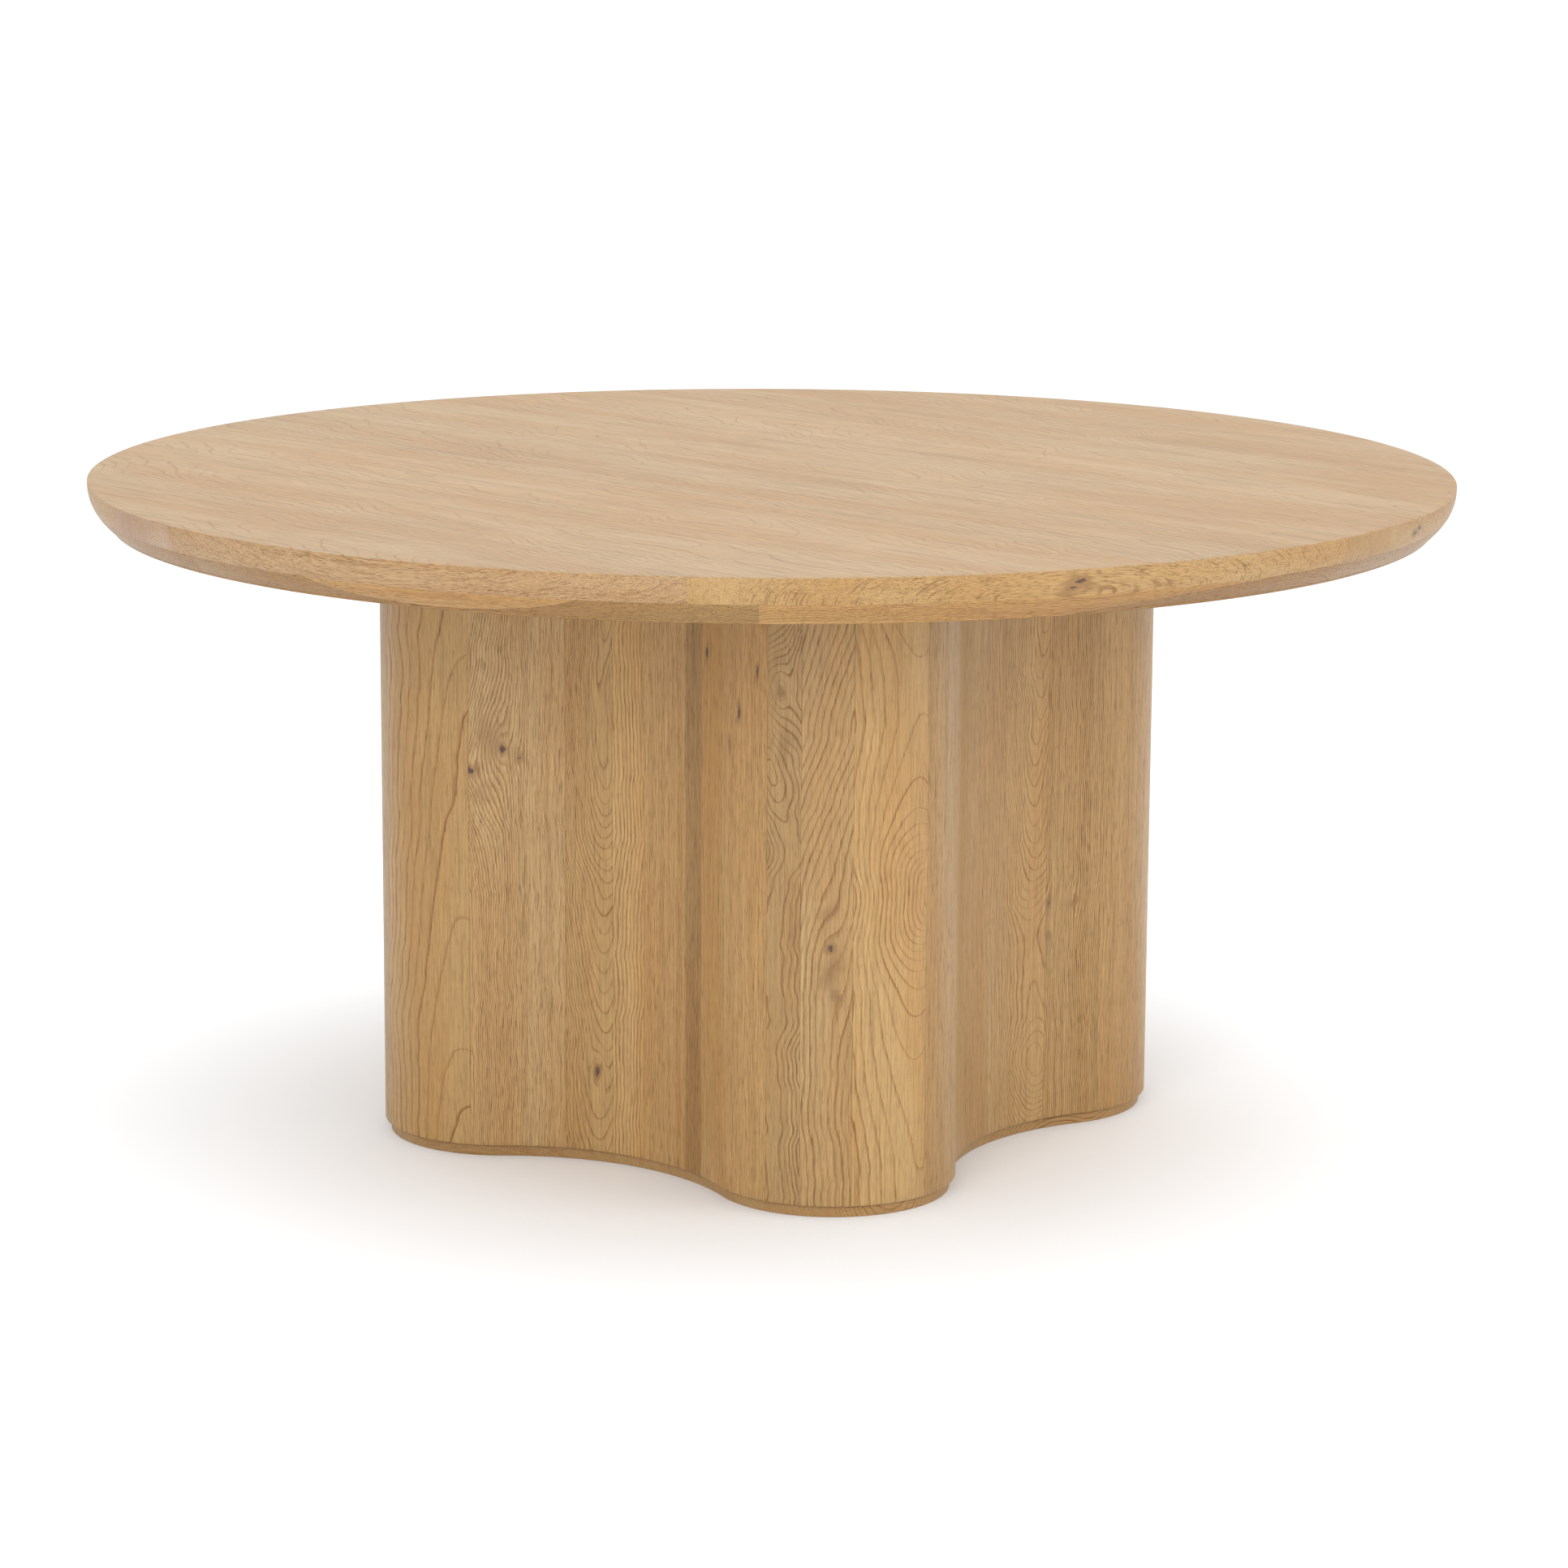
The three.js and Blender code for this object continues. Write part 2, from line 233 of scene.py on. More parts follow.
def board(seed, tone, ring=4.0, pith=(50, 40), lean=0.0, bow=0.0, taper=0.0, swells=(), knots=(),
          wave=1.0, figure=1.0, tilt=0.0, glue=None):
    """How one board was sawn from its log; lengths in millimetres.

    The pith line passes at pith = (sideways, behind the face) half-way up the board, leans
    and bows sideways and tapers away with height. A swell is (height, amount, reach, sideways
    shift) and a knot (sideways, height, size, strength). Ring is the width of a year's growth
    and tone the wood's colour. Tilt turns the rays, and glue is a second board's boundary,
    (offset, per along, per across, per rise).
    """
    return dict(seed=seed, tone=tone, ring=ring, pith=pith, lean=lean, bow=bow, taper=taper,
                swells=swells, knots=knots, wave=wave, figure=figure, tilt=tilt, glue=glue)


BARK_FLECK = 5
SLOW_WAVES = ((430, 3.0), (260, 1.8), (150, 1.3), (90, 0.8), (61, 0.5), (37, 0.35), (24, 0.2))
LEAST_SLOPE = 0.06
LEAST_RISE = 0.1


def grow(piece, across, along, rise, sawn, bend=0.0, run_out=0.0):
    """Gives each point of a board its place in the log, its year ring and its knots.

    The year is the distance to the pith line over the ring width, and the spacing is how far
    apart two years come to the surface, the ring width over the slope of that distance, where
    the surface itself rises by the bend across the board and by the run-out along it.
    Sideways places are drawn in towards a knot by a bell curve, which opens the lines around
    it, and slow waves that slant across the board make them wander. A knot is taller than
    wide, and a mark smaller than a bark fleck is a dash. All three places are in metres; waves
    and marks are in millimetres.
    """
    across, along, rise = (np.asarray(a, float).ravel() * 1000 for a in (across, along, rise))
    chance = np.random.default_rng(sawn["seed"])
    drift = np.zeros_like(across)
    for length, size in SLOW_WAVES:
        phase = chance.uniform(0, 2 * math.pi)
        slant = chance.uniform(-1, 1) * 0.6 * length / 7000
        drift += sawn["wave"] * size * np.sin(2 * math.pi * along / length + phase + slant * across)
    side = across + drift
    knot = np.zeros_like(across)
    lift = np.zeros_like(across)
    for knot_side, knot_height, size, strength in sawn["knots"]:
        beside, above = (across - knot_side) / size, (along - knot_height) / size
        turn = np.arctan2(above, beside)
        first, second = chance.uniform(0, 2 * math.pi, 2)
        uneven = 1 + 0.22 * np.sin(2 * turn + first) + 0.16 * np.sin(5 * turn + second)
        reach = np.hypot(beside, above / 2.6)
        core = np.hypot(beside, above / (1.5 if size >= BARK_FLECK else 3.2)) * uneven
        open_up = min(strength, 1)
        side = knot_side + (side - knot_side) * (1 - 0.8 * open_up * np.exp(-(reach**2) / 4))
        lift += 0.9 * open_up * size * np.exp(-(reach**2) / 2)
        knot = np.maximum(knot, strength * np.exp(-((core * 1.15) ** 2)))
    height = along - 0.5 * (along.min() + along.max())
    sideways = side - sawn["pith"][0] - sawn["lean"] * height - sawn["bow"] * height**2 / 1000
    behind = sawn["pith"][1] + sawn["taper"] * height + rise + lift
    for swell_height, amount, length, shift in sawn["swells"]:
        bell = np.exp(-(((along - swell_height) / length) ** 2))
        behind = behind + amount * bell
        sideways = sideways - shift * bell
    from_pith = np.hypot(sideways, behind)
    years = from_pith / sawn["ring"] + chance.uniform(0, 50)
    slope_across = sideways + np.ravel(bend) * behind
    slope_along = (np.ravel(run_out) + LEAST_SLOPE) * behind + LEAST_RISE
    spacing = sawn["ring"] * from_pith / np.hypot(slope_across, slope_along)
    tilt = math.radians(sawn["tilt"])
    turned_across = across * math.cos(tilt) + rise * math.sin(tilt)
    turned_rise = rise * math.cos(tilt) - across * math.sin(tilt)
    log_place = np.stack([turned_across, along, turned_rise], axis=-1) / 1000
    log_place += chance.uniform(0, 9, 3)
    glued = np.ones_like(across)
    if sawn["glue"]:
        offset, per_along, per_across, per_rise = sawn["glue"]
        slope = math.sqrt(per_along**2 + per_across**2 + per_rise**2)
        glued = (offset + per_along * along + per_across * across + per_rise * rise) / slope / 1000
    tone = np.tile(np.array([*sawn["tone"], sawn["figure"]]), (len(across), 1))
    layers = piece.data.attributes
    layers.new("log_place", "FLOAT_VECTOR", "POINT").data.foreach_set("vector", log_place.ravel())
    for name, values in (("years", years), ("spacing", spacing), ("knot", knot), ("glued", glued)):
        layers.new(name, "FLOAT", "POINT").data.foreach_set("value", values)
    layers.new("tone", "FLOAT_COLOR", "POINT").data.foreach_set("color", tone.ravel())


def node(tree, kind, sockets=(), **settings):
    """Adds a shader node, makes its settings, and fills its sockets with values or with links."""
    made = tree.nodes.new("ShaderNode" + kind)
    for name, value in settings.items():
        setattr(made, name, value)
    for socket, value in dict(sockets).items():
        if isinstance(value, bpy.types.NodeSocket):
            tree.links.new(value, made.inputs[socket])
        else:
            made.inputs[socket].default_value = value
    return made


def sums(tree, operation, first, second=0.0):
    """One step of arithmetic on two numbers or sockets."""
    return node(tree, "Math", {0: first, 1: second}, operation=operation).outputs[0]


def times(tree, first, second):
    """The product of two numbers or sockets."""
    return sums(tree, "MULTIPLY", first, second)


def line(tree, value, slope, start):
    """A straight line: the value times the slope, plus the start."""
    return sums(tree, "ADD", times(tree, value, slope), start)


def between(tree, value, low, high):
    """A smooth step from nought at the low value to one at the high value."""
    sockets = {"Value": value, "From Min": low, "From Max": high}
    return node(tree, "MapRange", sockets, interpolation_type="SMOOTHSTEP").outputs[0]


def blend_colours(tree, share, first, second, kind="MIX"):
    """Blends two colours by a share; sockets 0, 6 and 7 are the factor and the two colours."""
    sockets = {0: share, 6: first, 7: second}
    return node(tree, "Mix", sockets, data_type="RGBA", blend_type=kind).outputs[2]


def fibres(tree, place, across, along, through, detail=2.0):
    """Noise drawn out along the grain: so many spots to the metre across, along and through."""
    stretched = node(tree, "VectorMath", {0: place, 1: (across, along, through)},
                     operation="MULTIPLY").outputs[0]
    sockets = {"Vector": stretched, "Scale": 1.0, "Detail": detail, "Roughness": 0.55}
    return node(tree, "TexNoise", sockets).outputs["Fac"]


def start_finish(name):
    """A new material with its node tree and its Principled shader."""
    material = bpy.data.materials.new(name)
    material.use_nodes = True
    return material, material.node_tree, material.node_tree.nodes["Principled BSDF"]


def dress(tree, shader, colour, roughness, height, relief, strength=1.0):
    """Gives a shader its colour and its roughness, and a bump of the given relief."""
    bump = node(tree, "Bump", {"Height": height, "Distance": relief, "Strength": strength})
    tree.links.new(colour, shader.inputs["Base Color"])
    tree.links.new(roughness, shader.inputs["Roughness"])
    tree.links.new(bump.outputs["Normal"], shader.inputs["Normal"])


def shader_group(name, inputs, outputs):
    """An empty node group; returns it with the sockets it is given and those it fills.

    Four numbers make a colour socket, three a vector, and one a plain number.
    """
    group = bpy.data.node_groups.new(name, "ShaderNodeTree")
    for side, sockets in (("INPUT", inputs), ("OUTPUT", outputs)):
        for socket_name, value in sockets.items():
            kind = {4: "NodeSocketColor", 3: "NodeSocketVector", 1: "NodeSocketFloat"}[np.size(value)]
            socket = group.interface.new_socket(socket_name, in_out=side, socket_type=kind)
            socket.default_value = value
    given, made = group.nodes.new("NodeGroupInput"), group.nodes.new("NodeGroupOutput")
    return group, given.outputs, made.inputs


YEARS_PAST_GLUE = 17.3
GLUE_HALF_WIDTH = 0.0003


def oak_figure():
    """The look of lacquered oak at a point of the log.

    Each year starts with a sharp dark band of early wood that fades to pale late wood, its
    edge frayed by the fibres. Open pores are dark dashes, thickest in the early wood. Rays
    are short ticks and checks long ones, slow clouds shift the colour, and knots turn brown
    with a dark heart. Past a glue line the wood is another, lighter board.
    """
    group, given, made = shader_group(
        "oak_figure",
        {"Log Place": (0, 0, 0), "Years": 0.0, "Spacing": 3.0, "Knot": 0.0, "Glued": 1.0,
         "Tone": (0.5, 0.4, 0.3, 1), "Figure": 1.0, "Pores": 1.0, "Rays": 0.5, "Checks": 0.0,
         "Streaks": 0.6},
        {"Colour": (0, 0, 0, 1), "Roughness": 0.0, "Height": 0.0},
    )
    past_glue = sums(group, "LESS_THAN", given["Glued"], 0.0)
    jump = node(group, "CombineXYZ", {0: past_glue, 1: past_glue, 2: past_glue}).outputs[0]
    place = node(group, "VectorMath", {0: given["Log Place"], 1: jump}, operation="ADD").outputs[0]
    years = line(group, past_glue, YEARS_PAST_GLUE, given["Years"])
    fray = fibres(group, place, 520, 17, 520, 3)
    wander = fibres(group, place, 45, 5, 45, 1)
    cloud = fibres(group, place, 16, 2.2, 16, 2)
    streak = fibres(group, place, 260, 4.5, 260, 2)
    thread = fibres(group, place, 1050, 15, 1050, 2)
    pore_field = fibres(group, place, 1250, 52, 1250, 1)
    ray_field = fibres(group, place, 1500, 95, 60, 0)
    check_field = fibres(group, place, 1100, 26, 40, 1)

    # Years: a number that climbs by one a year, whose fraction is the place within the year.
    ease_off = sums(group, "DIVIDE", 2.6, sums(group, "MAXIMUM", given["Spacing"], 2.0))
    frayed = line(group, line(group, fray, 0.75, wander), ease_off, years)
    through_year = sums(group, "FRACT", frayed)
    year_chance = node(group, "TexWhiteNoise", {"W": sums(group, "FLOOR", frayed)},
                       noise_dimensions="1D").outputs["Value"]
    fade = line(group, sums(group, "MINIMUM", given["Spacing"], 13.0), 0.24, 1.4)
    past_line = sums(group, "DIVIDE", times(group, through_year, given["Spacing"]), fade)
    band = node(group, "ValToRGB", {"Fac": past_line})
    band.color_ramp.interpolation = "EASE"
    for position, level in ((0.07, 1.0), (0.40, 0.62), (0.75, 0.20)):
        stop = band.color_ramp.elements.new(position)
        stop.color = (level, level, level, 1)
    band.color_ramp.elements[0].color = (0.5, 0.5, 0.5, 1)
    band.color_ramp.elements[-1].color = (0.05, 0.05, 0.05, 1)
    early = times(group, band.outputs["Color"], line(group, year_chance, 0.80, 0.58))
    figure = times(group, early, given["Figure"])

    # Marks: pores, rays, checks, the glue line, streaks and knots, each nought where there is none.
    pores = times(group, between(group, pore_field, 0.54, 0.68), line(group, early, 0.70, 0.32))
    pore_dark = times(group, pores, given["Pores"])
    rays = times(group, between(group, ray_field, 0.66, 0.76), given["Rays"])
    checks = times(group, between(group, check_field, 0.61, 0.68), given["Checks"])
    glue_line = sums(group, "LESS_THAN", sums(group, "ABSOLUTE", given["Glued"]), GLUE_HALF_WIDTH)
    streaks = times(group, between(group, streak, 0.52, 0.70), given["Streaks"])
    ragged = times(group, sums(group, "SUBTRACT", fray, 0.5), 0.9)
    knot_mask = line(group, ragged, given["Knot"], given["Knot"])

    def tinted(red, green, blue):
        """The board's own tone, each of its three colours multiplied by a share."""
        return blend_colours(group, 1.0, given["Tone"], (red, green, blue, 1), "MULTIPLY")

    def laid(share, mask, below, above):
        """A colour laid over another by a share of a mask."""
        return blend_colours(group, times(group, mask, share), below, above)

    # Colour: from the board's tone up, each mark laid over what is below it.
    deep = tinted(0.40, 0.29, 0.18)
    clouded = blend_colours(group, between(group, cloud, 0.38, 0.66), tinted(1.08, 1.09, 1.11),
                            tinted(1.03, 0.94, 0.83))
    streaked = blend_colours(group, streaks, clouded, tinted(0.79, 0.76, 0.72))
    figured = blend_colours(group, figure, streaked, tinted(0.66, 0.48, 0.29))
    shade = line(group, thread, 0.80, 0.60)
    grey = node(group, "CombineColor", {0: shade, 1: shade, 2: shade}).outputs[0]
    threaded = blend_colours(group, 1.0, figured, grey, "MULTIPLY")
    pored = blend_colours(group, pore_dark, threaded, deep)
    rayed = laid(0.6, rays, pored, deep)
    checked = blend_colours(group, checks, rayed, tinted(0.50, 0.34, 0.20))
    paler = blend_colours(group, 1.0, checked, (1.38, 1.40, 1.48, 1), "MULTIPLY")
    second_board = blend_colours(group, past_glue, checked, paler)
    lined = laid(0.45, glue_line, second_board, deep)
    haloed = laid(0.78, between(group, knot_mask, 0.05, 0.75), lined, tinted(0.60, 0.50, 0.42))
    heart = blend_colours(group, between(group, knot_mask, 0.88, 1.22), haloed, (0.070, 0.036, 0.020, 1))
    rough = line(group, cloud, 0.10, line(group, pore_dark, 0.30, 0.40))
    depth = line(group, checks, 0.5, line(group, early, 0.25, times(group, pore_dark, 0.8)))
    depth = sums(group, "ADD", depth, between(group, knot_mask, 0.95, 1.2))
    group.links.new(heart, made["Colour"])
    group.links.new(rough, made["Roughness"])
    group.links.new(sums(group, "SUBTRACT", 1.0, depth), made["Height"])
    return group


oak_group = oak_figure()
COAT_WEIGHT = 0.12


def oak_finish(name, pores=1.0, rays=0.5, checks=0.0, streaks=0.6, relief=0.00016, gloss=0.38,
               shine=0.35):
    """Lacquered oak: the oak figure on a Principled shader with a thin satin coat."""
    material, tree, shader = start_finish(name)
    read = {}
    for key in ("log_place", "years", "spacing", "knot", "glued", "tone"):
        read[key] = node(tree, "Attribute", attribute_name=key).outputs
    sockets = {"Log Place": read["log_place"]["Vector"], "Tone": read["tone"]["Color"],
               "Figure": read["tone"]["Alpha"], "Pores": pores, "Rays": rays, "Checks": checks,
               "Streaks": streaks}
    for key in ("years", "spacing", "knot", "glued"):
        sockets[key.title()] = read[key]["Fac"]
    oak = node(tree, "Group", sockets, node_tree=oak_group).outputs
    dress(tree, shader, oak["Colour"], oak["Roughness"], oak["Height"], relief)
    shader.inputs["Specular IOR Level"].default_value = shine
    shader.inputs["Coat Weight"].default_value = COAT_WEIGHT
    shader.inputs["Coat Roughness"].default_value = gloss
    return material


def honey(light, warmth=0.0):
    """A wood colour from a lightness of 0 to 1 and a warmth of -1, grey, to 1, red."""
    dark, pale = np.array([0.238, 0.138, 0.046]), np.array([0.402, 0.256, 0.103])
    colour = dark + (pale - dark) * light
    return tuple(colour * np.array([1 + 0.03 * warmth, 1 - 0.02 * warmth, 1 - 0.14 * warmth]))


glide_places = {
    "front": (0, -LOBE_CENTRE),
    "right": (LOBE_CENTRE, 0),
    "back": (0, LOBE_CENTRE),
    "left": (-LOBE_CENTRE, 0),
}


def plinth_solid():
    """The plinth: its wall is the outline carried up with an eased foot and an eased top edge.

    Two flat faces with four round holes close it, and each hole has an upright wall.
    """
    low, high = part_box("plinth")
    stations, drops = eased_run(high.z - low.z, PLINTH_STEP, PLINTH_EASE)
    run = np.linspace(0, outline_length, PLINTH_POINTS, endpoint=False)
    x, y = outline(run, PLINTH_RECESS + drops[:, None])
    z = np.broadcast_to((low.z + stations)[:, None], x.shape)
    index = np.arange(x.size).reshape(x.shape)
    faces = ring_walls(index)
    angle = full_turn(ROUND_SIDES)
    points = [np.stack([x, y, z], axis=-1).reshape(-1, 3)]
    rims = []
    count = x.size
    for place in glide_places.values():
        for z in (low.z, high.z):
            points.append(around(place, WELL_RADIUS, angle, z))
            rims.append(np.arange(count, count + len(angle)))
            count += len(angle)
    points = np.concatenate(points)
    for lower, upper in zip(rims[::2], rims[1::2]):
        faces += np.stack([lower, upper, np.roll(upper, -1), np.roll(lower, -1)], axis=-1).tolist()
    for outer, holes, upward in ((index[0], rims[::2], False), (index[-1], rims[1::2], True)):
        loops = [outer, *holes]
        flat = np.concatenate(loops)
        for triangle in tessellate_polygon([[Vector(points[i]) for i in loop] for loop in loops]):
            a, b, c = (flat[i] for i in triangle)
            area = np.cross(points[b] - points[a], points[c] - points[a])[2]
            faces.append([a, b, c] if (area > 0) == upward else [a, c, b])
    return finish_mesh("plinth_board", points, [[int(i) for i in f] for f in faces])


plinth = plinth_solid()
plinth_points = np.empty(3 * len(plinth.data.vertices))
plinth.data.vertices.foreach_get("co", plinth_points)
plinth_points = plinth_points.reshape(-1, 3)
GRAIN_TURN = math.radians(17)
plinth_x, plinth_y, plinth_z = plinth_points.T
plinth_along = plinth_x * math.cos(GRAIN_TURN) + plinth_y * math.sin(GRAIN_TURN)
plinth_across = plinth_y * math.cos(GRAIN_TURN) - plinth_x * math.sin(GRAIN_TURN)
plinth_board = board(3, honey(0.66, -0.2), 1.6, (-60, 0), wave=0.3)
grow(plinth, plinth_z, plinth_along, plinth_across, plinth_board)
plinth.data.materials.append(oak_finish("plinth_oak", pores=0.8))
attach(plinth, "table")
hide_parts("plinth")

# ---- levelling glides ------------------------------------
# A zinc plated foot with a nylon sole under each lobe, on a screwed stem. Turned up, it hides
# in its well; a flanged insert above it, knocked into the lower former, takes the thread.
PAD_RADIUS = 0.020
FOOT_HEIGHT = 0.0061
STEM_RADIUS = 0.005
STEM_SIDES = 32
THREAD_PITCH = 0.0015
THREAD_DEPTH = 0.0009
ROWS_A_TURN = 8


def shaded(colour, share):
    """A colour multiplied by a share, with a fourth number for its opacity."""
    return tuple(c * share for c in colour) + (1,)


def metal_finish(name, colour, roughness, metallic):
    """Plated metal or moulded plastic with fine speckle and slightly uneven gloss."""
    material, tree, shader = start_finish(name)
    place = node(tree, "TexCoord").outputs["Object"]
    fine = {"Vector": place, "Scale": 900.0, "Detail": 3.0}
    broad = {"Vector": place, "Scale": 60.0, "Detail": 2.0}
    speckle = node(tree, "TexNoise", fine).outputs["Fac"]
    patches = node(tree, "TexNoise", broad).outputs["Fac"]
    dull = shaded(colour, 0.78)
    tint = blend_colours(tree, between(tree, patches, 0.35, 0.7), shaded(colour, 1), dull)
    dress(tree, shader, tint, line(tree, speckle, 0.22, roughness - 0.11), speckle, 0.00004, 0.5)
    shader.inputs["Metallic"].default_value = metallic
    return material


zinc = metal_finish("zinc_plate", (0.58, 0.59, 0.60), 0.34, 1.0)
nylon = metal_finish("dark_nylon", (0.05, 0.05, 0.052), 0.55, 0.0)


def turned(name, profile, place):
    """A solid of revolution about an upright line: a profile of (radius, height) points.

    The profile runs from the axis to the axis, its end radii being a hair above nought so
    that each end closes with one small face.
    """
    radius, height = (np.array(values, float) for values in zip(*profile))
    grid = around(place, radius[:, None], full_turn(ROUND_SIDES), place[2] + height[:, None])
    return carried(name, grid)


def glide_stem(name, place, bottom, top):
    """A screwed stem: the radius falls by the depth of a ridge that climbs one pitch a turn."""
    rows = int((top - bottom) / THREAD_PITCH * ROWS_A_TURN)
    angle = full_turn(STEM_SIDES)
    height = np.linspace(bottom, top, rows)[:, None]
    phase = height / THREAD_PITCH - angle / (2 * math.pi)
    ridge = 1 - 2 * np.abs(phase % 1 - 0.5)
    ends = np.clip(np.minimum(height - bottom, top - height) / THREAD_PITCH, 0, 1)
    radius = STEM_RADIUS - THREAD_DEPTH * (1 - ridge * ends)
    return carried(name, around(place, radius, angle, height))


SOLE_PROFILE = [(1e-5, 0), (0.0180, 0), (0.0192, 0.0004), (0.0198, 0.0014), (0.0198, 0.0024),
                (1e-5, 0.0024)]
FOOT_PROFILE = [(1e-5, 0.0025), (0.0196, 0.0025), (PAD_RADIUS, 0.0030), (PAD_RADIUS, 0.0048),
                (0.0192, 0.0056), (0.0150, 0.0060), (0.0072, 0.0060), (0.0058, 0.0060), (1e-5, 0.0060)]
FLANGE_RADII = np.array([0.0053, 0.0130, 0.0130, 0.0125, 0.0053])
FLANGE_HEIGHTS = np.array([-0.0001, -0.0001, -0.0010, -0.0015, -0.0015])
former_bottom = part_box("lower_former")[0].z
for side, place in glide_places.items():
    node_name = f"levelling_glide_{side}"
    body = f"glide_{side}"
    low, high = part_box(node_name)
    sole = turned(f"glide_sole_{side}", SOLE_PROFILE, (*place, low.z))
    foot = turned(f"glide_foot_{side}", FOOT_PROFILE, (*place, low.z))
    stem = glide_stem(f"glide_stem_{side}", place, low.z + FOOT_HEIGHT, high.z)
    sole.data.materials.append(nylon)
    foot.data.materials.append(zinc)
    stem.data.materials.append(zinc)
    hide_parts(node_name)
    for part in (sole, foot, stem):
        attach(part, body)
    flange = around(place, FLANGE_RADII, full_turn(ROUND_SIDES)[:, None], former_bottom + FLANGE_HEIGHTS)
    insert = carried(f"glide_insert_{side}", flange, end_caps="none")
    insert.data.materials.append(zinc)
    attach(insert, "table")

# ---- formers and mounting plate --------------------------
# Birch plywood boards: three are cut to the inside of the staves, which are glued to them, and
# the round mounting plate on top is screwed to the upper one. Their edges show the plies.


def plywood_finish(name, ply, faces):
    """Raw plywood: layers by height on the edges, and sliced birch figure on the faces."""
    material, tree, shader = start_finish(name)
    place = node(tree, "TexCoord").outputs["Object"]
    height = node(tree, "SeparateXYZ", {0: place}).outputs["Z"]
    layer = sums(tree, "FLOOR", sums(tree, "DIVIDE", height, ply))
    odd = sums(tree, "ABSOLUTE", sums(tree, "MODULO", layer, 2.0))
    grain = fibres(tree, place, 6.5, 52, 6.5, 4)
    flecks = fibres(tree, place, 60, 900, 300, 2)
    normal = node(tree, "NewGeometry").outputs["Normal"]
    upright = sums(tree, "ABSOLUTE", node(tree, "SeparateXYZ", {0: normal}).outputs["Z"])
    plain = shaded(faces, 1)
    edge_colour = blend_colours(tree, odd, plain, shaded(faces, 0.62))
    face_colour = blend_colours(tree, between(tree, grain, 0.35, 0.7), plain, shaded(faces, 0.82))
    colour = blend_colours(tree, between(tree, upright, 0.4, 0.6), edge_colour, face_colour)
    dots = times(tree, between(tree, flecks, 0.62, 0.75), 0.35)
    dotted = blend_colours(tree, dots, colour, shaded(faces, 0.45))
    dress(tree, shader, dotted, line(tree, flecks, 0.2, 0.6), flecks, 0.0001, 0.6)
    return material


def refinish(cad_name, material):
    """Puts a finish on a carried-over piece in place of its plain one."""
    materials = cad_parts[cad_name].data.materials
    materials.clear()
    materials.append(material)


PLY_THICKNESS = 0.0015
BIRCH = (0.56, 0.42, 0.25)
plywood = plywood_finish("birch_plywood", PLY_THICKNESS, BIRCH)
for board_name in ("lower_former", "middle_former", "upper_former", "mounting_plate"):
    refinish(board_name, plywood)

# Eight flanged hexagon bolts, two in each valley, go up through the plate into the core panel.
BOLT_CIRCLE = 0.352
BOLT_SPREAD = math.radians(9)
HEX_FLAT = 0.0065
HEX_SIDES = 72


def bolt_head(name, place, top):
    """A flanged hexagon head seen from below.

    Each row is a radius by angle: a circle, or a hexagon's flat distance over the cosine of
    the angle from the nearest flat, held inside a chamfer circle.
    """
    angle = full_turn(HEX_SIDES)
    from_flat = (angle + math.pi / 6) % (math.pi / 3) - math.pi / 6
    hexagon = HEX_FLAT / np.cos(from_flat)
    circle = np.ones_like(angle)
    rows = [
        (1e-5 * circle, -0.0070), (0.0055 * circle, -0.0070), (np.minimum(hexagon, 0.0066), -0.0069),
        (hexagon * 0.995, -0.0063), (hexagon, -0.0060), (hexagon, -0.0020), (0.0088 * circle, -0.0016),
        (0.0092 * circle, -0.0011), (0.0092 * circle, -0.0001), (1e-5 * circle, -0.0001),
    ]
    radius, height = (np.array(values) for values in zip(*rows))
    return carried(name, around(place, radius, angle, (top + height)[:, None]))


plate_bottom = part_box("mounting_plate")[0].z
for number in range(8):
    bolt_angle = math.radians(45 + 90 * (number // 2)) + (BOLT_SPREAD if number % 2 else -BOLT_SPREAD)
    bolt_place = (BOLT_CIRCLE * math.cos(bolt_angle), BOLT_CIRCLE * math.sin(bolt_angle))
    bolt = bolt_head(f"plate_bolt_{number + 1}", bolt_place, plate_bottom)
    bolt.data.materials.append(zinc)
    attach(bolt, "table")

# ---- staves ----------------------------------------------
# Solid oak boards of random width, shaped to the lobes and valleys, glued edge to edge around
# the formers and sanded flush. Each board has its own figure, colour and knots.
FIRST_JOINT = -0.650
STAVE_WIDTHS = (
    127, 108, 56, 41, 65, 29, 119, 39, 56, 90, 77, 105, 104, 70, 72, 82,
    96, 134, 88, 118, 142, 74, 126, 104, 137, 66, 135, 110,
)
STAVE_THICKNESS = 0.022
STAVE_STEP = 0.0025
STAVE_ROW = 0.005
JOINT_GAP = 0.0001
STAVE_EASE = 0.0003
FOOT_EASE = 0.0016
SLOPE_STEP = 0.0005

